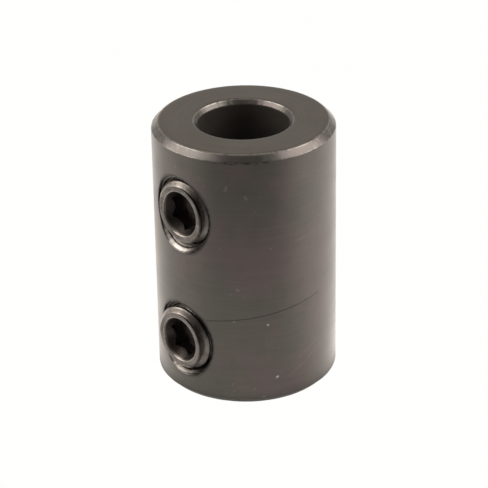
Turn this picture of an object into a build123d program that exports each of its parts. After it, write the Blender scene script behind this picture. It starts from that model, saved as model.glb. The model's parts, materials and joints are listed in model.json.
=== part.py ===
"""Rigid one-piece shaft coupling: a bored steel sleeve clamped to its shafts by
two hex-socket, cup-point set screws that stand in one line along its front.

The origin is on the bore's axis, halfway along the sleeve. +Z runs along the
bore, and the set screws point towards -Y. Sizes are in millimetres.
"""

from build123d import *
from math import cos, degrees, pi, radians, sin, tan
import os

INCH = 25.4

# Sleeve
SLEEVE_RADIUS = INCH / 4
SLEEVE_LENGTH = INCH * 3 / 4
BORE_RADIUS = INCH / 8
RIM_CHAMFER = 0.45
BORE_CHAMFER = 0.3

# Set-screw thread: number 10, 32 threads to the inch, right-hand, 60 degree flanks
THREAD_PITCH = INCH / 32
THREAD_CREST_RADIUS = INCH * 0.19 / 2 - 0.013
THREAD_ROOT_RADIUS = 1.926
CREST_FLAT = THREAD_PITCH / 8
FLANK_SLOPE = tan(radians(30))
FLANK_STEPS = 6
THREAD_CLEARANCE = 0.09

# Tapped holes: heights of their axes from the middle of the sleeve, and 60 degree countersinks
UPPER_STATION = 4.45
LOWER_STATION = -5.15
TAP_DRILL_RADIUS = INCH * 0.159 / 2
TAP_UNDERCUT = 0.07
COUNTERSINK_RADIUS = 2.79
COUNTERSINK_SLOPE = tan(radians(30))
COUNTERSINK_OVERRUN = 0.1

# Set screw, measured from the tip of its point
SCREW_LENGTH = 3.05
CUP_RING_RADIUS = 1.2
CUP_MOUTH_RADIUS = 1.05
CUP_DEPTH = 0.35
POINT_LENGTH = 0.7
POINT_GAP = 0.02
FACE_RADIUS = 1.95
SOCKET_FLATS = INCH * 3 / 32
SOCKET_DEPTH = 1.6
SOCKET_ENTRY_RADIUS = 1.63
SOCKET_ENTRY_DEPTH = 1.04
SOCKET_DRILL_RADIUS = 1.05
SOCKET_DRILL_DEPTH = 0.3

# Where each screw stands at rest: tip to bore axis, and the turn of its socket
UPPER_TIP = BORE_RADIUS + 0.03
LOWER_TIP = BORE_RADIUS + 0.40
UPPER_SOCKET_TURN = 30
LOWER_SOCKET_TURN = 45


def outward_plane(distance, station):
    """Plane square to a screw's axis: local Z points out of the sleeve, local X along +X."""
    return Plane(origin=(0, -distance, station), x_dir=(1, 0, 0), z_dir=(0, -1, 0))


def polar(radius, angle):
    """Point of a plane profile, from its radius and its angle in radians."""
    return (radius * cos(angle), radius * sin(angle))


def threaded_rod(plane, turns, crest_radius, root_radius):
    """Rod with one right-hand thread: its cross-section turns once in every pitch.

    The section is a crest arc and a root arc joined by two flanks whose radius
    falls evenly with the angle, as a straight thread flank does.
    """
    depth = crest_radius - root_radius
    crest_half = pi * CREST_FLAT / THREAD_PITCH
    root_start = crest_half + 2 * pi * depth * FLANK_SLOPE / THREAD_PITCH
    falling = []
    rising = []
    for step in range(FLANK_STEPS + 1):
        share = step / FLANK_STEPS
        angle = crest_half + share * (root_start - crest_half)
        falling.append(polar(crest_radius - share * depth, angle))
        rising.insert(0, polar(crest_radius - share * depth, -angle))
    with BuildSketch(plane) as section:
        with BuildLine():
            CenterArc((0, 0), crest_radius, -degrees(crest_half), 2 * degrees(crest_half))
            Spline(*falling)
            CenterArc((0, 0), root_radius, degrees(root_start), 360 - 2 * degrees(root_start))
            Spline(*rising)
        make_face()
    run = plane.z_dir * (turns * THREAD_PITCH)
    face = section.sketch.face()
    with BuildPart() as rod:
        add(Solid.extrude_linear_with_rotation(face, plane.origin, run, 360 * turns))
    return rod.part


def make_sleeve():
    """Bored and chamfered cylinder with two tapped, drilled and countersunk cross holes.

    Each tap's grooves are cut first. Its root is a little smaller than the drill, so
    the drilled wall cuts cleanly through the grooves.
    """
    taps = [
        threaded_rod(
            outward_plane(tip - 3 * THREAD_PITCH, station),
            9,
            THREAD_CREST_RADIUS + THREAD_CLEARANCE,
            TAP_DRILL_RADIUS - TAP_UNDERCUT,
        )
        for tip, station in ((UPPER_TIP, UPPER_STATION), (LOWER_TIP, LOWER_STATION))
    ]
    mouth_radius = COUNTERSINK_RADIUS + COUNTERSINK_OVERRUN * COUNTERSINK_SLOPE
    throat_radius = TAP_DRILL_RADIUS - COUNTERSINK_OVERRUN
    with BuildPart() as sleeve:
        Cylinder(SLEEVE_RADIUS, SLEEVE_LENGTH)
        chamfer(sleeve.edges().filter_by(GeomType.CIRCLE), RIM_CHAMFER)
        Hole(BORE_RADIUS)
        ends = sleeve.faces().filter_by(Plane.XY)
        bore_rims = [face.inner_wires()[0].edge() for face in ends]
        chamfer(bore_rims, BORE_CHAMFER)
        for tap in taps:
            add(tap, mode=Mode.SUBTRACT)
        for station in (UPPER_STATION, LOWER_STATION):
            with BuildSketch(outward_plane(0, station)):
                Circle(TAP_DRILL_RADIUS)
            extrude(amount=2 * SLEEVE_RADIUS, mode=Mode.SUBTRACT)
            with Locations(outward_plane(SLEEVE_RADIUS + COUNTERSINK_OVERRUN, station)):
                Cone(
                    throat_radius,
                    mouth_radius,
                    (mouth_radius - throat_radius) / COUNTERSINK_SLOPE,
                    align=(Align.CENTER, Align.CENTER, Align.MAX),
                    mode=Mode.SUBTRACT,
                )
    return sleeve.part


def make_cup_point(tip, station):
    """The screw's unthreaded end: a 45 degree cone with a hollow cup in its tip."""
    with BuildPart() as point:
        with BuildSketch(outward_plane(tip, station)):
            Circle(CUP_RING_RADIUS)
        with BuildSketch(outward_plane(tip + POINT_LENGTH, station)):
            Circle(CUP_RING_RADIUS + POINT_LENGTH)
        loft()
        with Locations(outward_plane(tip, station)):
            Cone(
                CUP_MOUTH_RADIUS,
                0,
                CUP_DEPTH,
                align=(Align.CENTER, Align.CENTER, Align.MIN),
                mode=Mode.SUBTRACT,
            )
    return point.part


def make_set_screw(tip, station, socket_turn):
    """The screw's threaded length, chamfered at both ends, with its hex socket."""
    start = tip + POINT_LENGTH + POINT_GAP
    face = tip + SCREW_LENGTH
    start_radius = CUP_RING_RADIUS + POINT_LENGTH + POINT_GAP
    reach = THREAD_CREST_RADIUS + 0.2
    thread = threaded_rod(
        outward_plane(tip - THREAD_PITCH, station), 6, THREAD_CREST_RADIUS, THREAD_ROOT_RADIUS
    )
    with BuildPart() as screw:
        with BuildSketch(Plane.XY.offset(station)):
            with BuildLine():
                Polyline(
                    (0, -start),
                    (start_radius, -start),
                    (reach, start_radius - reach - start),
                    (reach, reach - FACE_RADIUS - face),
                    (FACE_RADIUS, -face),
                    (0, -face),
                    close=True,
                )
            make_face()
        revolve(axis=Axis((0, 0, station), (0, -1, 0)))
        add(thread, mode=Mode.INTERSECT)
        with BuildSketch(outward_plane(face - SOCKET_DEPTH, station)):
            RegularPolygon(SOCKET_FLATS / 2, 6, major_radius=False, rotation=socket_turn)
        extrude(amount=SOCKET_DEPTH, mode=Mode.SUBTRACT)
        with Locations(outward_plane(face, station)):
            Cone(
                SOCKET_DRILL_RADIUS,
                SOCKET_ENTRY_RADIUS,
                SOCKET_ENTRY_DEPTH,
                align=(Align.CENTER, Align.CENTER, Align.MAX),
                mode=Mode.SUBTRACT,
            )
        with Locations(outward_plane(face - SOCKET_DEPTH, station)):
            Cone(
                0,
                SOCKET_DRILL_RADIUS,
                SOCKET_DRILL_DEPTH,
                align=(Align.CENTER, Align.CENTER, Align.MAX),
                mode=Mode.SUBTRACT,
            )
    return screw.part


def write(part, label):
    """Label a finished piece and save it as its own STEP file."""
    part.label = label
    export_step(part, "parts/" + label + ".step")


os.makedirs("parts", exist_ok=True)
write(make_sleeve(), "coupling_sleeve")
write(make_cup_point(UPPER_TIP, UPPER_STATION), "upper_cup_point")
write(make_set_screw(UPPER_TIP, UPPER_STATION, UPPER_SOCKET_TURN), "upper_set_screw")
write(make_cup_point(LOWER_TIP, LOWER_STATION), "lower_cup_point")
write(make_set_screw(LOWER_TIP, LOWER_STATION, LOWER_SOCKET_TURN), "lower_set_screw")
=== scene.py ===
"""Looks for a rigid one-piece shaft coupling: a black-oxide steel sleeve and its two set screws."""

import json
import math

import bpy
import numpy as np
from mathutils import Matrix, Vector


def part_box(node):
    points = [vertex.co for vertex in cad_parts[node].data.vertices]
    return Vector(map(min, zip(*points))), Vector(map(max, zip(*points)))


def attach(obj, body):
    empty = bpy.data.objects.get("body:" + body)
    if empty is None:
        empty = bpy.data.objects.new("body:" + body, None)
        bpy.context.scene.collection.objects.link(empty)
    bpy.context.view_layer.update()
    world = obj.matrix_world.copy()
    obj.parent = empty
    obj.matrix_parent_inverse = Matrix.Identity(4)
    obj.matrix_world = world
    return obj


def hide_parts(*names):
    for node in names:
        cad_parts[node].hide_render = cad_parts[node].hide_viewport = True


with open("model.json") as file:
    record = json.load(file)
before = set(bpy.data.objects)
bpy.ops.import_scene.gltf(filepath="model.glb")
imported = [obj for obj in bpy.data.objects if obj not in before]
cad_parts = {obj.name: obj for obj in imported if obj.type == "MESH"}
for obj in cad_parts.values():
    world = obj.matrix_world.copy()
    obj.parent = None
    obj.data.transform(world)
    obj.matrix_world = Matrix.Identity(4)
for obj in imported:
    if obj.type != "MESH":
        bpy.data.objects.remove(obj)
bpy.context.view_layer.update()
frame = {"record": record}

# --------------------------------------------------------------------------------------
# Sizes read from the frame, in metres
# --------------------------------------------------------------------------------------

MM = 0.001
TURN = 2 * math.pi

# Points this close are one point, and a rounded corner is cut into this many steps
SAME_POINT = 1e-5 * MM
ROUND_STEPS = 4

RECORD = frame["record"]
BORE = next(m["dims"]["r_mm"] * MM for m in RECORD["mounts"] if m["name"] == "bore")
PITCH = TURN * RECORD["behaviour"]["couplings"][0]["ratio"]
SLEEVE_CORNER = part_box("coupling_sleeve")[1]
OUTER = SLEEVE_CORNER.x
HALF = SLEEVE_CORNER.z

# Edges of the sleeve: chamfers, the small round left on an edge and how far an edge wanders
RIM_CHAMFER = 0.45 * MM
BORE_CHAMFER = 0.30 * MM
EDGE_ROUND = 0.05 * MM
EDGE_RAGGED = 0.007 * MM

# Thread form: 60 degree flanks, a flat crest an eighth of the pitch wide
CREST_FLAT = PITCH / 8
FLANK_RISE = 1 / math.tan(math.radians(30))
THREAD_DEPTH = 0.474 * MM
THREAD_SOFT = 0.02 * MM

# Tapped hole: its gap round the screw's crests, and the radii of its drill and its countersink
THREAD_CLEARANCE = 0.09 * MM
DRILL = 2.0193 * MM
COUNTERSINK = 2.79 * MM
COUNTERSINK_SLOPE = math.tan(math.radians(30))

# Set screw: the cup's ring and mouth, the chamfered ends of the thread, and the hexagon socket, whose
# mouth is a cone that goes 1.04 mm deep over 0.58 mm of its radius
CUP_RING = 1.2 * MM
CUP_MOUTH = 1.05 * MM
CUP_DEPTH = 0.35 * MM
CHAMFER_START = 0.02 * MM
FACE_EDGE = 1.95 * MM
FACE_BEVEL = 0.06 * MM
SOCKET_HALF_FLATS = 25.4 * MM * 3 / 64
SOCKET_CORNER_ROUND = 0.05
SOCKET_DEPTH = 1.6 * MM
SOCKET_MOUTH = 1.63 * MM
SOCKET_MOUTH_SLOPE = 1.04 / 0.58
SOCKET_MOUTH_ROUND = 0.10 * MM
SOCKET_DRILL = 1.05 * MM
SOCKET_DRILL_DEPTH = 0.3 * MM


class Screw:
    """Where one set screw sits: its side, its height, how far its tip and its face are from the bore's
    axis, the radius of its crests and how far its socket is turned."""

    def __init__(self, side, socket_turn):
        body_low, body_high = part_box(side + "_set_screw")
        point_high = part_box(side + "_cup_point")[1]
        self.side = side
        self.station = (body_low.z + body_high.z) / 2
        self.tip = -point_high.y
        self.face = -body_low.y
        self.crest = (body_high.x - body_low.x) / 2
        self.socket_turn = math.radians(socket_turn)


SCREWS = [Screw("upper", 30), Screw("lower", 45)]


# --------------------------------------------------------------------------------------
# Surfaces
# --------------------------------------------------------------------------------------

def ripple(angle, lowest, highest, seed):
    """Uneven wave round a circle: sines of whole-number counts from lowest to highest, each weaker
    by the square root of its count and turned by its own fixed random angle, scaled to about one."""
    draw = np.random.RandomState(seed)
    total = np.zeros_like(angle)
    for count in range(lowest, highest):
        total = total + np.sin(count * angle + draw.uniform(0, TURN)) / math.sqrt(count)
    return total / math.sqrt(sum(0.5 / count for count in range(lowest, highest)))


def smooth_positive(value, soft):
    """The value where it is positive and nought where it isn't, with a small round between."""
    return 0.5 * (value + np.sqrt(value ** 2 + soft ** 2))


def sector(angle, middle, gain, cut):
    """A patch round the axis: the gain times the cosine of the angle from its middle, less the cut,
    kept between nought and one."""
    return np.clip(gain * np.cos(angle - middle) - cut, 0, 1)


def bend(before, corner, after, steps):
    """Rounded corner: the quadratic curve that leaves `before`, heads for `corner` and ends at `after`."""
    t = np.linspace(0, 1, steps + 1)[:, None, None]
    return before * (1 - t) ** 2 + 2 * corner * t * (1 - t) + after * t ** 2


def run(start, end, steps):
    """Straight rows from `start` to `end`, both ends included."""
    t = np.linspace(0, 1, steps + 1)[:, None, None]
    return start * (1 - t) + end * t


def towards(start, end, distance):
    """Point at a distance from `start` on the way to `end`."""
    way = end - start
    return start + way * (distance / np.linalg.norm(way, axis=-1, keepdims=True))


def profile_rows(angle, corners, steps, rounding):
    """Rows of a profile carried round the axis. A corner is a radius and a height, each one number or a
    number for every angle. Corners are rounded by a quadratic curve, and each straight between two
    corners is cut into steps."""
    corners = [np.stack(np.broadcast_arrays(radius + 0 * angle, height), -1) for radius, height in corners]
    rows = []
    last = corners[0]
    reaches = np.broadcast_to(rounding, len(corners) - 2)
    for here, after, count, reach in zip(corners[1:-1], corners[2:], steps[:-1], reaches):
        stop = towards(here, last, reach)
        start = towards(here, after, reach)
        rows.append(run(last, stop, count)[:-1])
        rows.append(bend(stop, here, start, ROUND_STEPS)[:-1])
        last = start
    rows.append(run(last, corners[-1], steps[-1]))
    return np.concatenate(rows)


def weave(points, closed_columns=False, skip=None):
    """Quads of a grid of points: each joins a point to its next row and next column."""
    rows, columns = points.shape[:2]
    index = np.arange(rows * columns).reshape(rows, columns)
    if closed_columns:
        index = np.concatenate([index, index[:, :1]], axis=1)
    quads = np.stack([index[:-1, :-1], index[:-1, 1:], index[1:, 1:], index[1:, :-1]], axis=-1)
    if skip is not None:
        quads = quads[~skip]
    return points.reshape(-1, 3), quads.reshape(-1, 4)


class Shell:
    """Gathers grids of points, each point with two marks, then makes one closed mesh of them. Wear is
    -1 where painted shade darkens the steel, 0 where it is even, 1 where it is rubbed and where it carries
    a painted highlight, and 2 where a painted highlight makes the steel bright. Inside goes from 0 at the
    surface to 1 deep in a hole and is raised on a hole's upper side; the finishes paint light by it."""

    def __init__(self):
        self.points = []
        self.quads = []
        self.marks = []
        self.count = 0

    def add(self, points, wear_and_painted_light=0.0, inside=0.0, flip=False, **kind):
        flat, quads = weave(points, **kind)
        if flip:
            quads = quads[:, ::-1]
        self.points.append(flat)
        self.quads.append(quads + self.count)
        marks = [np.broadcast_to(mark, points.shape[:2]).reshape(-1) for mark in (wear_and_painted_light, inside)]
        self.marks.append(np.stack(marks, -1))
        self.count += len(flat)

    def mesh(self, name):
        points = np.concatenate(self.points)
        quads = np.concatenate(self.quads)
        marks = np.concatenate(self.marks).astype(np.float32)
        keys = np.round(points / SAME_POINT).astype(np.int64)
        _, first, place = np.unique(keys, axis=0, return_index=True, return_inverse=True)
        quads = place.reshape(-1)[quads]
        points = points[first]
        marks = marks[first]
        faces = [list(dict.fromkeys(quad)) for quad in quads.tolist()]
        faces = [face for face in faces if len(face) > 2]
        mesh = bpy.data.meshes.new(name)
        mesh.from_pydata(points.tolist(), [], faces)
        for column, mark in enumerate(("wear_and_painted_light", "inside")):
            attribute = mesh.attributes.new(mark, "FLOAT", "POINT")
            attribute.data.foreach_set("value", np.ascontiguousarray(marks[:, column]))
        mesh.polygons.foreach_set("use_smooth", np.ones(len(mesh.polygons), bool))
        mesh.update()
        piece = bpy.data.objects.new(name, mesh)
        bpy.context.scene.collection.objects.link(piece)
        return piece


def thread_radius(angle, height, crest):
    """Radius of a right-hand thread: it falls from the crest along 60 degree flanks with the distance,
    along the axis, from the nearest ridge, which climbs one pitch in each turn."""
    share = height / PITCH - angle / TURN
    distance = np.abs(share - np.round(share)) * PITCH
    fall = smooth_positive((distance - CREST_FLAT / 2) * FLANK_RISE, THREAD_SOFT) - 0.3 * THREAD_SOFT
    return crest - THREAD_DEPTH + smooth_positive(THREAD_DEPTH - fall, THREAD_SOFT)


# The sleeve's grid: equal steps round the axis, and blocks left open in front for the tapped holes
COLUMNS = 240
WALL_BLOCK = 23
BORE_BLOCK = 42
WALL_ROWS = 68
BORE_ROWS = WALL_ROWS + 2 * WALL_BLOCK - 2 * BORE_BLOCK
WALL_BLOCK_HALF = 3.75 * MM
BORE_BLOCK_HALF = 3.2 * MM
AROUND_HOLE = 2 * (2 * WALL_BLOCK + WALL_ROWS)
HOLE_ROWS = 66
APRON_STEPS = 8
END_ROWS = 3
MIDDLE_ROWS = 8

# The sleeve's end profile, from the outer wall over the rim and the end face into the bore: steps of
# its five straights, roundings of its four edges, and the rows that lie on edges and on the chamfer
PROFILE_STEPS = [1, 3, 10, 3, 1]
PROFILE_ROUNDS = [0.05 * MM, 0.12 * MM, 0.08 * MM, 0.05 * MM]
EDGE_ROWS = [2, 3, 4, 9, 10, 11, 24, 25, 26]
CHAMFER_ROWS = slice(5, 9)

# Painted highlight on the rim's chamfer, brighter at the sides, where the lamps stand: the least of it,
# how much more there is elsewhere, and where it is least, on the camera's side
CHAMFER_HIGHLIGHT = 0.5
CHAMFER_HIGHLIGHT_SWING = 0.28
LEAST_HIGHLIGHT = math.radians(45)

# Painted light and shade round a tapped hole, as angles about the hole from +X towards +Z and depths below
# its lip: the side of the lip and wall with a painted highlight, the side of the wall with painted light,
# the lip's painted shadow and a dark line painted round the countersink as a thread groove's shadow
HIGHLIGHT_SIDE = math.radians(-115)
LIGHT_SIDE = math.radians(125)
LIP_SHADOW = 0.10 * MM
GROOVE_SHADOW_DEPTH = 0.27 * MM
GROOVE_SHADOW_WIDTH = 0.05 * MM
CONE_FADE = 0.02 * MM
RIDGE_FADE = 0.08 * MM
INSIDE_REACH = 0.9 * MM


def on_cylinder(radius, angle, height):
    """Points on a cylinder about +Z: the angle runs from the front, -Y, towards +X."""
    return np.stack(np.broadcast_arrays(radius * np.sin(angle), -radius * np.cos(angle), height), -1)


def wall_heights(block_half, block_rows, end):
    """Heights of a wall's rows from the lower end to the upper, with both screws' blocks cut evenly."""
    marks = [-end]
    for screw in sorted(SCREWS, key=lambda s: s.station):
        marks += [screw.station - block_half, screw.station + block_half]
    marks.append(end)
    counts = [END_ROWS, block_rows, MIDDLE_ROWS, block_rows, END_ROWS]
    parts = [np.linspace(a, b, n + 1)[:-1] for a, b, n in zip(marks, marks[1:], counts)]
    return np.append(np.concatenate(parts), end)


def hole_openings(heights, block_half, block_columns):
    """True for each quad of a wall that lies in a screw's block."""
    middle = (heights[1:] + heights[:-1]) / 2
    inside = np.zeros(len(middle), bool)
    for screw in SCREWS:
        inside |= np.abs(middle - screw.station) < block_half
    front = np.zeros(COLUMNS, bool)
    front[:block_columns] = True
    front[-block_columns:] = True
    return inside[:, None] & front[None, :]


def block_edge(radius, screw, columns, rows, half_height):
    """The block's edge as (arc length, height) from its lower-left corner, anticlockwise from outside."""
    half = radius * columns * TURN / COLUMNS
    across = np.linspace(-half, half, 2 * columns + 1)[:-1]
    up = np.linspace(-half_height, half_height, rows + 1)[:-1]
    side = np.full_like(up, half)
    end = np.full_like(across, half_height)
    arc = np.concatenate([across, side, -across, -side])
    height = np.concatenate([-end, up, end, -up])
    return np.stack([arc, screw.station + height], -1)


def hole_angles():
    """Even angles round a hole, from its lower-left corner direction, from +X towards +Z."""
    return np.arange(AROUND_HOLE) * TURN / AROUND_HOLE - TURN * 3 / 8


def apron(radius, rim, edge):
    """Ring of a wall between a hole's rim and its block's edge: straight lines on the unrolled
    cylinder, closer together near the rim."""
    t = np.linspace(0, 1, APRON_STEPS + 1)[:, None, None] ** 1.5
    flat = rim * (1 - t) + edge * t
    return on_cylinder(radius, flat[..., 0] / radius, flat[..., 1])


def hole_wall(shell, screw):
    """One tapped hole: aprons on the outer wall and in the bore, a rounded lip, and the wall between,
    whose radius at each depth is the largest of the drill's, the thread groove's and the countersink's.
    Painted shade darkens the lip and the apron next to it but for the side with a painted highlight. The
    countersink is rubbed, the wall has a painted highlight on its lower side and painted light on its upper
    side, a dark line is painted round the countersink as a thread groove's shadow, the thread's ridges are
    half rubbed, and painted light grows deep in the hole and on its upper side."""
    angle = hole_angles()
    cosine = np.cos(angle)
    sine = np.sin(angle)
    crest = screw.crest + THREAD_CLEARANCE
    ragged = COUNTERSINK * (1 + 0.004 * ripple(angle, 6, 40, 5))

    def surface(radius, wall):
        """Distance from the bore's axis at which a cylinder about the hole meets a wall."""
        return np.sqrt(wall ** 2 - (radius * cosine) ** 2)

    def cut(distance):
        """Radius that the tools left at a distance from the bore's axis."""
        groove = thread_radius(angle, distance - screw.tip, crest)
        cone = ragged - (OUTER - distance) * COUNTERSINK_SLOPE
        return np.maximum(np.maximum(groove, cone), DRILL)

    def place(radius, distance):
        """Points about the hole's axis at a distance from the bore's axis."""
        return np.stack(np.broadcast_arrays(radius * cosine, -distance, screw.station + radius * sine), -1)

    def unrolled(radius, wall):
        """The same ring on a wall rolled out flat, as (arc length, height)."""
        return np.stack([wall * np.arcsin(radius * cosine / wall), screw.station + radius * sine], -1)

    def opening(wall):
        """Radius of the hole's edge on a wall, by repeated halving of the step towards the cut."""
        radius = np.full_like(angle, DRILL)
        for _ in range(40):
            radius = 0.5 * radius + 0.5 * cut(surface(radius, wall))
        return radius

    rim = opening(OUTER)
    start = surface(rim, OUTER) - 1.5 * EDGE_ROUND
    lip_out = place(rim + EDGE_ROUND, surface(rim + EDGE_ROUND, OUTER))
    lip = place(rim, surface(rim, OUTER))
    lip_in = place(cut(start), start)
    edge = block_edge(OUTER, screw, WALL_BLOCK, WALL_ROWS, WALL_BLOCK_HALF)
    # Painted highlight: a bright crescent on the lower side of the lip and the countersink
    highlight_side = sector(angle, HIGHLIGHT_SIDE, 2.6, 1.6)
    fade = np.clip(1 - np.arange(APRON_STEPS + 1) / 1.8, 0, 1)[:, None]
    ring = apron(OUTER, unrolled(rim + EDGE_ROUND, OUTER), edge)
    # Painted shade: the apron next to the rim and the lip are darkened, except on the side with the painted
    # highlight
    shell.add(ring, fade * (highlight_side - 1), closed_columns=True, flip=True)
    shell.add(bend(lip_out, lip, lip_in, ROUND_STEPS), 1.8 * highlight_side - 1.0, closed_columns=True)

    exit_radius = opening(BORE)
    depth = start + (surface(exit_radius, BORE) - start) * np.linspace(0, 1, HOLE_ROWS)[:, None]
    radius = cut(depth)
    radius[-1] = exit_radius
    below = start - depth
    cone = np.clip((ragged - (OUTER - depth) * COUNTERSINK_SLOPE - radius) / CONE_FADE + 1, 0, 1)
    ridge = np.clip((DRILL + RIDGE_FADE - radius) / RIDGE_FADE, 0, 1) * 0.5
    lip_shadow = np.clip(1 - below / LIP_SHADOW, 0, 1) * (1 - highlight_side)
    # Painted light: the wall grows paler deep in the hole and on its upper side
    inside = np.clip(below / INSIDE_REACH + 0.6 * np.clip(sine, 0, 1), 0, 1)
    # Painted highlight on the lower side and painted light on the upper side, both turned to bright steel
    bright = np.maximum(highlight_side, 0.5 * sector(angle, LIGHT_SIDE, 1.5, 0.3))
    # Painted shadow: a dark line round the countersink, standing in for a thread groove's shadow
    groove_shadow = np.exp(-((below - GROOVE_SHADOW_DEPTH * (1.2 + 0.5 * cosine)) / GROOVE_SHADOW_WIDTH) ** 2) * cone
    shadow = np.maximum(lip_shadow, groove_shadow)
    painted_light_and_wear = np.maximum(cone, ridge) + 2 * bright
    shell.add(place(radius, depth), painted_light_and_wear * (1 - shadow) - shadow, inside, closed_columns=True)

    edge = block_edge(BORE, screw, BORE_BLOCK, BORE_ROWS, BORE_BLOCK_HALF)
    shell.add(apron(BORE, unrolled(exit_radius, BORE), edge), 0.0, 1.0, closed_columns=True)


def sleeve_piece():
    """The sleeve: a chamfered ring profile carried round +Z, whose edges are rubbed and wander a little
    as turned and tumbled edges do, whose outer chamfers carry a painted highlight, with blocks left open
    for the two tapped holes."""
    angle = np.arange(COLUMNS) * TURN / COLUMNS
    shell = Shell()
    wall = wall_heights(WALL_BLOCK_HALF, WALL_ROWS, HALF - RIM_CHAMFER - 3 * EDGE_ROUND)
    shell.add(on_cylinder(OUTER, angle[None, :], wall[:, None]), closed_columns=True,
              skip=hole_openings(wall, WALL_BLOCK_HALF, WALL_BLOCK))
    bore = wall_heights(BORE_BLOCK_HALF, BORE_ROWS, HALF - BORE_CHAMFER - 3 * EDGE_ROUND)
    shell.add(on_cylinder(BORE, angle[None, :], bore[:, None]), 0.0, 1.0, closed_columns=True,
              skip=hole_openings(bore, BORE_BLOCK_HALF, BORE_BLOCK), flip=True)

    def wander(seed):
        """How far an edge strays at each angle."""
        return EDGE_RAGGED * ripple(angle, 4, 60, seed)

    for end, seed in ((1, 11), (-1, 31)):
        rows = profile_rows(angle, [
            (OUTER, wall[-1]),
            (OUTER, HALF - RIM_CHAMFER + wander(seed + 1)),
            (OUTER - RIM_CHAMFER + 0.5 * wander(seed + 2), HALF),
            (BORE + BORE_CHAMFER + 0.5 * wander(seed + 3), HALF),
            (BORE, HALF - BORE_CHAMFER + wander(seed + 4)),
            (BORE, bore[-1]),
        ], PROFILE_STEPS, PROFILE_ROUNDS)
        radius = rows[..., 0]
        painted_light_and_wear = np.zeros(radius.shape)
        painted_light_and_wear[EDGE_ROWS] = 1
        # Painted highlight on the chamfer: least on the camera's side, most at the sides where the lamps
        # stand
        painted_light_and_wear[CHAMFER_ROWS] = CHAMFER_HIGHLIGHT + CHAMFER_HIGHLIGHT_SWING * np.sin(angle - LEAST_HIGHLIGHT) ** 2
        in_bore = (radius < BORE + 0.01 * MM) * 1.0
        shell.add(on_cylinder(radius, angle[None, :], end * rows[..., 1]), painted_light_and_wear, in_bore,
                  closed_columns=True, flip=end < 0)
    for screw in SCREWS:
        hole_wall(shell, screw)
    piece = shell.mesh("sleeve_body")
    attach(piece, "sleeve")
    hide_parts("coupling_sleeve")
    return piece


# A set screw's grid, and the roundings of its head and its tail
SCREW_COLUMNS = 192
THREAD_ROWS = 64
SHARP = 0.03 * MM
HEAD_STEPS = [3, 3, 8, 5, 3, 1]
HEAD_ROUNDS = [SHARP, SHARP, SHARP, SOCKET_MOUTH_ROUND, SHARP]
TAIL_STEPS = [1, 1, 6]
TAIL_ROUND = 0.01 * MM

# The thread starts low under the face: the most its first crest reaches, how far down that holds, and
# how fast the crest grows below
FIRST_CREST = 2.32 * MM
FIRST_CREST_REACH = 0.6 * MM
FIRST_CREST_SLOPE = 0.15

# Wear and painted light of a set screw: the band under its face with a painted highlight on one side and
# painted shade on another, as angles about the screw from +X towards +Z, the rubbed crests, and the
# painted shade on the cone and floor of the socket
CHAMFER_REACH = 0.5 * MM
CHAMFER_FADE = 0.1 * MM
SCREW_HIGHLIGHT_SIDE = math.radians(110)
SCREW_SHADE_SIDE = math.radians(15)
CREST_FADE = 0.06 * MM
MOUTH_WIDTH = 0.06 * MM
MOUTH_REACH = 0.1 * MM
CONE_TOP = 0.15 * MM
CONE_BOTTOM = 0.85 * MM
FLOOR_EDGE = 0.02 * MM
SOCKET_INSIDE = 0.7 * MM


def hexagon_radius(angle, half_flats, turn):
    """Distance from a hexagon's centre to its side at each angle, with corners slightly rounded."""
    sixth = TURN / 6
    off = (angle - turn) % sixth - sixth / 2
    sharp = half_flats / np.cos(off)
    return sharp - SOCKET_CORNER_ROUND * np.maximum(sharp / half_flats - 1.1, 0) * half_flats * 4


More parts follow.
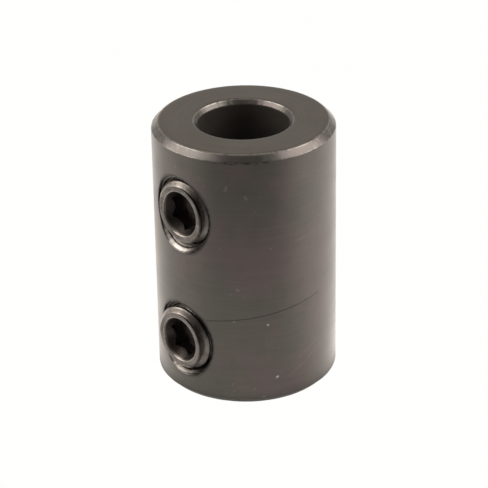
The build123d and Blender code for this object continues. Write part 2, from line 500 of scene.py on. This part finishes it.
def screw_piece(screw):
    """One set screw as a single grid carried round its axis, from the middle of the socket's floor,
    up its six walls, over the face, down the thread and point, to the middle of the cup. Heights are
    above the tip. The crests and the socket's mouth are rubbed, the band under the face has a painted
    highlight on one side and painted shade on another, painted shade darkens the socket's cone and floor,
    and painted light lifts its deep walls."""
    angle = np.arange(SCREW_COLUMNS) * TURN / SCREW_COLUMNS + screw.socket_turn
    length = screw.face - screw.tip
    hexagon = hexagon_radius(angle, SOCKET_HALF_FLATS, screw.socket_turn)
    entry = length - (SOCKET_MOUTH - hexagon) * SOCKET_MOUTH_SLOPE
    floor = length - SOCKET_DEPTH
    head = profile_rows(angle, [
        (0, floor - SOCKET_DRILL_DEPTH),
        (SOCKET_DRILL, floor),
        (hexagon, floor),
        (hexagon, entry),
        (SOCKET_MOUTH, length),
        (FACE_EDGE, length),
        (FACE_EDGE + FACE_BEVEL, length - FACE_BEVEL),
    ], HEAD_STEPS, HEAD_ROUNDS)[:-1]
    height = np.linspace(length - FACE_BEVEL, CHAMFER_START, THREAD_ROWS)[:, None] + 0 * angle
    limit = np.minimum(FACE_EDGE + length - height, CUP_RING + height)
    first_crest = FIRST_CREST + FIRST_CREST_SLOPE * np.maximum(length - height - FIRST_CREST_REACH, 0)
    limit = np.minimum(limit, first_crest)
    radius = np.minimum(thread_radius(angle, height, screw.crest), limit)
    thread = np.stack([radius, height], -1)
    tail = profile_rows(angle, [
        (radius[-1], height[-1]),
        (CUP_RING, 0),
        (CUP_MOUTH, 0),
        (0, CUP_DEPTH),
    ], TAIL_STEPS, TAIL_ROUND)
    rows = np.concatenate([head, thread[:-1], tail])
    place = np.stack([
        rows[..., 0] * np.cos(angle),
        -(screw.tip + rows[..., 1]),
        screw.station + rows[..., 0] * np.sin(angle),
    ], -1)
    # Painted highlight on one side of the band under the face and painted shade on the other
    chamfer_light_and_shade = 0.9 * sector(angle, SCREW_HIGHLIGHT_SIDE, 1.5, 0.5) - sector(angle, SCREW_SHADE_SIDE, 1.5, 0.3)
    crest_worn = np.clip((radius - screw.crest) / CREST_FADE + 1, 0, 1) * 0.7
    chamfer = np.clip((length - CHAMFER_REACH - height) / -CHAMFER_FADE, 0, 1)
    thread_wear_and_light = crest_worn * (1 - chamfer) + chamfer * chamfer_light_and_shade
    below = length - head[..., 1]
    at_mouth = np.exp(-((head[..., 0] - SOCKET_MOUTH) / MOUTH_WIDTH) ** 2) * (below < MOUTH_REACH)
    on_floor = below > SOCKET_DEPTH - FLOOR_EDGE
    on_cone = (below > CONE_TOP) * (below < CONE_BOTTOM)
    # Painted shade in the socket: its cone and floor are darkened
    head_wear_and_shade = at_mouth - 0.95 * on_cone - 0.9 * on_floor
    # Painted light: the socket's deep walls are marked to take a paler colour
    head_depth = np.clip(below / SOCKET_INSIDE - 0.8, 0, 1) * (1 - on_floor)
    painted_light_and_wear = np.concatenate([head_wear_and_shade, thread_wear_and_light[:-1], np.zeros(tail.shape[:2])])
    depth = np.zeros(rows.shape[:2])
    depth[:len(head)] = head_depth
    shell = Shell()
    shell.add(place, painted_light_and_wear, depth, closed_columns=True)
    piece = shell.mesh(screw.side + "_screw")
    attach(piece, screw.side + "_screw")
    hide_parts(screw.side + "_set_screw", screw.side + "_cup_point")
    return piece


sleeve = sleeve_piece()
screws = [screw_piece(screw) for screw in SCREWS]


# --------------------------------------------------------------------------------------
# Shader maths written as expressions
# --------------------------------------------------------------------------------------

class Value:
    """A node socket whose arithmetic adds the Math node that works it out."""

    def __init__(self, tree, socket):
        self.tree = tree
        self.socket = socket

    def math(self, operation, *others):
        node = self.tree.nodes.new("ShaderNodeMath")
        node.operation = operation
        for slot, other in zip(node.inputs, (self, *others)):
            connect(self.tree, slot, other)
        return Value(self.tree, node.outputs[0])

    def __add__(self, other):
        return self.math("ADD", other)

    def __radd__(self, other):
        return self.math("ADD", other)

    def __sub__(self, other):
        return self.math("SUBTRACT", other)

    def __rsub__(self, other):
        return constant(self.tree, other).math("SUBTRACT", self)

    def __mul__(self, other):
        return self.math("MULTIPLY", other)

    def __truediv__(self, other):
        return self.math("DIVIDE", other)

    def between(self, low, high):
        """Nought below `low`, one above `high` and a smooth rise from one to the other."""
        settings = {"interpolation_type": "SMOOTHSTEP", "clamp": True}
        inputs = {"Value": self, "From Min": low, "From Max": high}
        return add_node(self.tree, "ShaderNodeMapRange", settings, inputs, "Result")

    def within(self, low, full, fading, high):
        """A rise from nought at `low` to one at `full`, then a fall from `fading` to nought at `high`."""
        return self.between(low, full) * (1 - self.between(fading, high))


def constant(tree, number):
    """A number as the start of an expression."""
    return add_node(tree, "ShaderNodeMath", {"operation": "ADD"}, {0: number, 1: 0.0}, 0)


def connect(tree, slot, value):
    """Puts a number, a colour or an expression on a socket."""
    if isinstance(value, Value):
        tree.links.new(value.socket, slot)
    else:
        slot.default_value = value


def add_node(tree, kind, settings, inputs, output):
    """Any node: its settings first, then its sockets by name or number, and the output asked for."""
    node = tree.nodes.new(kind)
    for name, setting in settings.items():
        setattr(node, name, setting)
    for name, value in inputs.items():
        connect(tree, node.inputs[name], value)
    return Value(tree, node.outputs[output])


def mix_colours(tree, share, first, second):
    """Colour between two colours: the first where the share is nought, the second where it is one."""
    node = tree.nodes.new("ShaderNodeMix")
    node.data_type = "RGBA"
    connect(tree, node.inputs[0], share)
    connect(tree, node.inputs[6], first)
    connect(tree, node.inputs[7], second)
    return Value(tree, node.outputs[2])


class Finish:
    """A material being written: its tree, its metal shader and the patterns the finishes share."""

    def __init__(self, name):
        self.material = bpy.data.materials.new(name)
        self.material.use_nodes = True
        self.tree = self.material.node_tree
        self.shader = self.tree.nodes["Principled BSDF"]
        self.point = add_node(self.tree, "ShaderNodeTexCoord", {}, {}, "Object")
        parts = self.tree.nodes.new("ShaderNodeSeparateXYZ")
        connect(self.tree, parts.inputs[0], self.point)
        self.x, self.y, self.z = (Value(self.tree, parts.outputs[i]) for i in range(3))

    def node(self, kind, settings, inputs, output):
        return add_node(self.tree, kind, settings, inputs, output)

    def vector(self, x, y, z):
        return self.node("ShaderNodeCombineXYZ", {}, {0: x, 1: y, 2: z}, 0)

    def noise(self, vector, scale, detail=2.0, roughness=0.5):
        return self.node("ShaderNodeTexNoise", {},
                         {"Vector": vector, "Scale": scale, "Detail": detail, "Roughness": roughness}, 0)

    def attribute(self, name):
        return self.node("ShaderNodeAttribute", {"attribute_name": name}, {}, "Fac")

    def mix(self, share, first, second):
        return mix_colours(self.tree, share, first, second)

    def bump(self, height, strength, distance, under=None):
        inputs = {"Height": height, "Strength": strength, "Distance": distance}
        if under is not None:
            inputs["Normal"] = under
        return self.node("ShaderNodeBump", {}, inputs, 0)

    def set(self, **sockets):
        for name, value in sockets.items():
            connect(self.tree, self.shader.inputs[name.replace("_", " ")], value)


def colour(red, green, blue):
    return (red, green, blue, 1.0)


# Oxide on the sleeve: its two tones on the walls and on the end faces, the marks of the lathe, and
# painted light deep in the bore and the holes
WALL_OLIVE = colour(0.061, 0.060, 0.055)
WALL_PLUM = colour(0.073, 0.063, 0.063)
WALL_STAIN = colour(0.050, 0.047, 0.044)
WALL_RING = colour(0.085, 0.080, 0.074)
FACE_DARK = colour(0.057, 0.050, 0.041)
FACE_PALE = colour(0.066, 0.061, 0.050)
FACE_RING = colour(0.088, 0.080, 0.067)
DEEP_PAINTED_LIGHT = colour(0.095, 0.088, 0.080)

# Wear and painted light of the sleeve: thin oxide that also serves as painted highlight, a bright painted
# highlight, painted shadow, painted shade under the rim, the scratch and pale marks
THIN_OXIDE_AND_HIGHLIGHT = colour(0.15, 0.145, 0.135)
PAINTED_HIGHLIGHT_STEEL = colour(0.42, 0.40, 0.38)
PAINTED_SHADOW = colour(0.012, 0.011, 0.010)
RIM_SHADOW = colour(0.016, 0.014, 0.013)
SCRATCHED = colour(0.030, 0.028, 0.026)
PALE_DUST = colour(0.20, 0.19, 0.18)
PALE_SPECK = colour(0.40, 0.38, 0.36)

# Oxide on the set screws, with painted light deep in the socket, painted shade and a painted highlight
SCREW_DARK = colour(0.062, 0.058, 0.054)
SCREW_PALE = colour(0.105, 0.098, 0.094)
SCREW_FLECK_AND_PAINTED_LIGHT = colour(0.17, 0.155, 0.145)
SCREW_PIT = colour(0.040, 0.035, 0.032)
SCREW_PAINTED_SHADE = colour(0.026, 0.022, 0.020)
SCREW_RUBBED_AND_HIGHLIGHT = colour(0.20, 0.185, 0.17)


class Mark:
    """A mark on the outer wall, straight on the unrolled wall: where it starts and ends as an angle in
    degrees from the front, -Y, towards +X, and a height in millimetres, and how wide it is."""

    def __init__(self, start, end, width):
        self.start = (math.radians(start[0]), start[1] * MM)
        self.end = (math.radians(end[0]), end[1] * MM)
        self.width = width * MM


SCRATCH = Mark((20, -3.05), (97, -1.85), 0.065)
RUBS = [Mark((72, -7.6), (92, -6.4), 0.07), Mark((80, -6.3), (96, -5.5), 0.06),
        Mark((78, 2.8), (101, 3.2), 0.06)]
SPECKS = [Mark((58.8, -3.23), (58.8, -3.23), 0.11), Mark((64.2, -7.47), (64.9, -7.44), 0.11),
          Mark((250, -4.6), (250, -4.6), 0.11)]
DUST = [Mark((37.6, -2.89), (37.9, -2.87), 0.12), Mark((50.0, -8.23), (50.0, -8.23), 0.10),
        Mark((55.0, -8.92), (56.5, -8.90), 0.10), Mark((33.8, 7.04), (34.6, 7.30), 0.14),
        Mark((45.8, 6.63), (46.5, 6.45), 0.12), Mark((200, 3.2), (200, 3.2), 0.12),
        Mark((152, -1.1), (152, -1.1), 0.10), Mark((40, -0.4), (41, -0.45), 0.12),
        Mark((61, 2.6), (61, 2.6), 0.10), Mark((318, 2.0), (319, 2.1), 0.12)]


def mark_mask(finish, angle, marks):
    """One on each mark and nought off it: the distance from a point of the unrolled wall to the nearest
    point of the mark's straight line, compared with the mark's width."""
    total = None
    for mark in marks:
        run_x = (mark.end[0] - mark.start[0]) * OUTER
        run_z = mark.end[1] - mark.start[1]
        square = run_x ** 2 + run_z ** 2
        x = (angle - mark.start[0]) * OUTER
        z = finish.z - mark.start[1]
        if square > 0:
            along = (x * (run_x / square) + z * (run_z / square)).math("MAXIMUM", 0).math("MINIMUM", 1)
            x = x - along * run_x
            z = z - along * run_z
        away = (x * x + z * z).math("SQRT")
        one = 1 - away.between(0.4 * mark.width, mark.width)
        total = one if total is None else total.math("MAXIMUM", one)
    return total


def steel_finish():
    """Black oxide on turned bar: dark brown-grey metal with fine rings from the lathe on every turned
    face, warmer and more strongly ringed on the end faces, and a soft mottle in the oxide. Rubbed edges
    are paler, the rim's chamfers carry a pale painted highlight, the holes carry a bright one, painted
    light lifts the bore and the holes deep inside, and painted shade makes the holes' lips nearly black. A
    ragged dark line is painted as shade under the front of the upper rim, and there are a few scratches,
    specks and grains of dust."""
    finish = Finish("black_oxide_turned")
    radius = (finish.x * finish.x + finish.y * finish.y).math("SQRT")
    angle = finish.x.math("ARCTAN2", finish.y * -1)
    angle = (angle + TURN).math("MODULO", TURN)
    rings = finish.noise(finish.vector(radius * 7000, angle * 1.2, finish.z * 7000), 1.0, 3.0, 0.6)
    broad = finish.noise(finish.vector(radius * 700, angle * 2.0, finish.z * 700), 1.0, 2.0, 0.5)
    streak = finish.noise(finish.vector(radius * 5000, angle * 9, finish.z * 5000), 1.0, 3.0, 0.6)
    mottle = finish.noise(finish.point, 260.0, 3.0, 0.55)
    stain = finish.noise(finish.point, 620.0, 3.0, 0.6)
    grain = finish.noise(finish.point, 9000.0, 2.0, 0.5)
    wear_and_painted_light = finish.attribute("wear_and_painted_light")
    inside = finish.attribute("inside")
    rub_and_highlight = (wear_and_painted_light * (0.30 + finish.noise(finish.point, 2300.0, 3.0, 0.7) * 1.1)).between(0.55, 0.95)
    painted_shade = (wear_and_painted_light * -1).math("MAXIMUM", 0)
    painted_highlight = (wear_and_painted_light - 1).math("MAXIMUM", 0).math("MINIMUM", 1)
    on_face = finish.z.math("ABSOLUTE").between(HALF - 0.05 * MM, HALF - 0.01 * MM)
    turned = finish.noise(finish.vector(radius * 4200, angle * 0.35, 0.0), 1.0, 2.0, 0.7)
    turned = turned.between(0.48, 0.75)
    at_rim = (finish.z - (HALF - RIM_CHAMFER)).within(-0.16 * MM, -0.05 * MM, -0.02 * MM, 0.06 * MM)
    # Painted shade: a ragged dark line under the front of the upper rim
    rim_shadow = finish.noise(finish.vector(angle * 14, finish.z * 5200, 3.0), 1.0, 3.0, 0.7).between(0.46, 0.60)
    rim_shadow = rim_shadow * at_rim * angle.within(0.3, 0.55, 0.95, 1.15)
    dust = finish.noise(finish.point, 3400.0, 1.0, 0.4).between(0.72, 0.80)
    shade = finish.mix(mottle.between(0.34, 0.66), WALL_OLIVE, WALL_PLUM)
    shade = finish.mix(stain.between(0.45, 0.8) * 0.35, shade, WALL_STAIN)
    shade = finish.mix(rings.between(0.35, 0.75) * 0.22, shade, WALL_RING)
    face = finish.mix(mottle.between(0.36, 0.64), FACE_DARK, FACE_PALE)
    face = finish.mix(turned * 0.6, face, FACE_RING)
    shade = finish.mix(on_face, shade, face)
    shade = finish.mix(dust * (1 - inside) * 0.12, shade, PALE_DUST)
    # Painted light: a paler colour deep in the bore and the holes and on the holes' upper sides
    shade = finish.mix(inside, shade, DEEP_PAINTED_LIGHT)
    # Rubbed wear, and the painted highlights on the chamfers and round the holes
    shade = finish.mix(rub_and_highlight * (1 - inside), shade, THIN_OXIDE_AND_HIGHLIGHT)
    # Painted highlight: bright steel on the lower side of each hole and painted light on its upper side
    shade = finish.mix(painted_highlight, shade, PAINTED_HIGHLIGHT_STEEL)
    # Painted shade: nearly black on the holes' lips and in a line round each countersink
    shade = finish.mix(painted_shade, shade, PAINTED_SHADOW)
    # Painted shade under the front of the upper rim
    shade = finish.mix(rim_shadow * 0.8, shade, RIM_SHADOW)
    shade = finish.mix(mark_mask(finish, angle, [SCRATCH]) * (0.4 + rings * 0.6), shade, SCRATCHED)
    shade = finish.mix(mark_mask(finish, angle, RUBS) * 0.08, shade, PALE_DUST)
    shade = finish.mix(mark_mask(finish, angle, SPECKS) * 0.45, shade, PALE_SPECK)
    shade = finish.mix(mark_mask(finish, angle, DUST) * 0.07, shade, PALE_SPECK)
    rough = 0.33 + (mottle - 0.5) * 0.10 + (broad - 0.5) * 0.12 - rub_and_highlight * 0.05 + inside * 0.2 + painted_highlight * 0.12
    normal = finish.bump(rings, 0.10, 0.01 * MM)
    normal = finish.bump(streak, 0.08, 0.02 * MM, under=normal)
    normal = finish.bump(grain, 0.10, 0.01 * MM, under=normal)
    finish.set(Base_Color=shade, Roughness=rough, Normal=normal, Metallic=1.0)
    return finish.material


def screw_finish():
    """Black oxide on a rolled and forged set screw: uneven and flecked, pale on rubbed crests, with a
    painted highlight on one side of the chamfer, painted shade on its other side and in the socket, and
    painted light on the socket's deep walls."""
    finish = Finish("black_oxide_screw")
    mottle = finish.noise(finish.point, 900.0, 4.0, 0.6)
    grain = finish.noise(finish.point, 5000.0, 3.0, 0.6)
    inside = finish.attribute("inside")
    wear_and_painted_light = finish.attribute("wear_and_painted_light")
    rub_and_highlight = (wear_and_painted_light * (0.4 + finish.noise(finish.point, 2500.0, 3.0, 0.7))).between(0.45, 0.95)
    painted_shade = ((wear_and_painted_light * -1) * (0.4 + finish.noise(finish.point, 5500.0, 3.0, 0.7) * 1.2)).math("MAXIMUM", 0)
    fine = finish.noise(finish.point, 4200.0, 3.0, 0.65)
    shade = finish.mix(mottle.between(0.3, 0.7), SCREW_DARK, SCREW_PALE)
    shade = finish.mix(fine.between(0.5, 0.75) * 0.5, shade, SCREW_FLECK_AND_PAINTED_LIGHT)
    shade = finish.mix((1 - fine.between(0.25, 0.48)) * 0.5, shade, SCREW_PIT)
    # Painted light: the socket's deep walls take a paler colour
    shade = finish.mix(inside, shade, SCREW_FLECK_AND_PAINTED_LIGHT)
    # Painted shade on one side of the chamfer and on the socket's cone and floor
    shade = finish.mix(painted_shade, shade, SCREW_PAINTED_SHADE)
    # Rubbed wear on the crests and mouth, and a painted highlight on one side of the chamfer
    shade = finish.mix(rub_and_highlight, shade, SCREW_RUBBED_AND_HIGHLIGHT)
    rough = 0.34 + (grain - 0.5) * 0.2 + painted_shade * 0.08
    finish.set(Base_Color=shade, Roughness=rough, Normal=finish.bump(grain, 0.25, 0.015 * MM), Metallic=1.0)
    return finish.material


def dress(piece, material):
    """Gives a piece its one material."""
    piece.data.materials.clear()
    piece.data.materials.append(material)


dress(sleeve, steel_finish())
screw_steel = screw_finish()
for piece in screws:
    dress(piece, screw_steel)


# --------------------------------------------------------------------------------------
# Floor, light and camera
# --------------------------------------------------------------------------------------

# Camera: its side is an angle from the front, -Y, towards +X, and its shift a share of the picture
CAMERA_SIDE = math.radians(45.7)
CAMERA_RISE = math.radians(27.04)
CAMERA_DISTANCE = 24.3 * OUTER
CAMERA_ROLL = math.radians(-1.01)
CAMERA_SHIFT = (-0.0033, -0.0032)
SENSOR = 36.0
VIEW_ANGLE = math.radians(12.71)

# Lamps: a side is an angle from the camera's direction, and lengths are in metres
LAMP_SIDE = math.radians(93)
LAMP_RISE = math.radians(42)
LAMP_DISTANCE = 0.16
LAMP_SIZE = 0.12
LAMP_STRENGTH = 6.0

# Floor and surroundings: the floor's half width, where the surroundings are dimmest, and the colours
# that the steel and the camera see
FLOOR_HALF = 1.5
DIM_RISE = math.radians(15)
STUDIO_TINT = colour(1.0, 0.925, 0.86)
STUDIO_WHITE = colour(1.0, 1.0, 0.99)


def white_floor():
    """A wide, plain white card under the sleeve. Seen directly it is evenly white. What the steel
    reflects of it is a painted glow, brightest at both sides, where the lamps stand, less bright in front
    and behind, with a painted shadow close to the sleeve."""
    mesh = bpy.data.meshes.new("floor")
    corners = [(x * FLOOR_HALF, y * FLOOR_HALF, -HALF) for x, y in ((-1, -1), (1, -1), (1, 1), (-1, 1))]
    mesh.from_pydata(corners, [], [(0, 1, 2, 3)])
    floor = bpy.data.objects.new("floor", mesh)
    bpy.context.scene.collection.objects.link(floor)
    finish = Finish("white_card")
    away = (finish.x * finish.x + finish.y * finish.y).math("SQRT")
    front = (finish.x * math.sin(CAMERA_SIDE) - finish.y * math.cos(CAMERA_SIDE)) / away
    right = (finish.x * math.cos(CAMERA_SIDE) + finish.y * math.sin(CAMERA_SIDE)) / away
    before = front.between(0.2, 0.95)
    behind = (front * -1).between(0.1, 0.9)
    # Painted glow for the steel to reflect: bright at the sides and behind, dimmer in front
    glow = before * (1.55 - away.between(15 * MM, 48 * MM) * 0.85) + behind * 1.65
    glow = glow + (1 - before - behind) * (right * 0.25 + 2.2)
    # Painted shadow on the glow close to the sleeve
    glow = glow * (0.25 + away.between(OUTER - 0.5 * MM, OUTER + 1.5 * MM) * 0.75)
    reflected = finish.node("ShaderNodeEmission", {}, {"Color": STUDIO_TINT, "Strength": glow}, 0)
    tone = finish.noise(finish.point, 40.0, 2.0, 0.5)
    white = finish.mix(tone, colour(0.995, 0.995, 0.985), STUDIO_WHITE)
    seen = finish.node("ShaderNodeEmission", {}, {"Color": white, "Strength": 1.0}, 0)
    camera_ray = finish.node("ShaderNodeLightPath", {}, {}, "Is Camera Ray")
    both = finish.node("ShaderNodeMixShader", {}, {0: camera_ray, 1: reflected, 2: seen}, 0)
    output = finish.tree.nodes["Material Output"]
    finish.tree.nodes.remove(finish.shader)
    connect(finish.tree, output.inputs["Surface"], both)
    dress(floor, finish.material)


def facing(side, rise):
    """Direction from the sleeve: `side` turns from the camera's direction towards its right."""
    turn = CAMERA_SIDE + side
    return Vector((math.sin(turn) * math.cos(rise), -math.cos(turn) * math.cos(rise), math.sin(rise)))


def make_camera():
    """Long lens from the front right, looking down on the top face, turned a little on its axis."""
    camera = bpy.data.cameras.new("camera")
    camera.sensor_width = SENSOR
    camera.lens = SENSOR / 2 / math.tan(VIEW_ANGLE / 2)
    camera.shift_x = CAMERA_SHIFT[0]
    camera.shift_y = CAMERA_SHIFT[1]
    camera.clip_start = 0.01
    camera.clip_end = 10.0
    holder = bpy.data.objects.new("camera", camera)
    back = facing(0, CAMERA_RISE)
    holder.location = back * CAMERA_DISTANCE
    holder.rotation_mode = "QUATERNION"
    roll = Matrix.Rotation(CAMERA_ROLL, 3, "Z").to_quaternion()
    holder.rotation_quaternion = (-back).to_track_quat("-Z", "Y") @ roll
    bpy.context.scene.collection.objects.link(holder)
    bpy.context.scene.camera = holder


def softbox(name, side):
    """Square lamp aimed at the sleeve's middle from one side."""
    lamp = bpy.data.lights.new(name, "AREA")
    lamp.shape = "SQUARE"
    lamp.size = LAMP_SIZE
    lamp.energy = LAMP_STRENGTH * LAMP_SIZE * LAMP_SIZE * math.pi
    lamp.color = STUDIO_TINT[:3]
    holder = bpy.data.objects.new(name, lamp)
    away = facing(side, LAMP_RISE)
    holder.location = away * LAMP_DISTANCE
    holder.rotation_mode = "QUATERNION"
    holder.rotation_quaternion = (-away).to_track_quat("-Z", "Y")
    bpy.context.scene.collection.objects.link(holder)


def studio_world():
    """Pale surroundings, dimmer on the side the camera stands on; seen directly they are plain white."""
    world = bpy.data.worlds.new("studio")
    world.use_nodes = True
    tree = world.node_tree
    bpy.context.scene.world = world
    way = add_node(tree, "ShaderNodeTexCoord", {}, {}, "Generated")
    forward = add_node(tree, "ShaderNodeVectorMath", {"operation": "DOT_PRODUCT"},
                       {0: way, 1: facing(0, DIM_RISE)}, "Value")
    strength = 0.97 - forward.between(0.1, 0.95) * 0.75
    seen = add_node(tree, "ShaderNodeLightPath", {}, {}, "Is Camera Ray")
    strength = strength + seen * (1.0 - strength)
    background = tree.nodes["Background"]
    connect(tree, background.inputs[0], mix_colours(tree, seen, STUDIO_TINT, STUDIO_WHITE))
    connect(tree, background.inputs[1], strength)


white_floor()
make_camera()
studio_world()
softbox("left_lamp", -LAMP_SIDE)
softbox("right_lamp", LAMP_SIDE)
bpy.context.scene.view_settings.view_transform = "Standard"
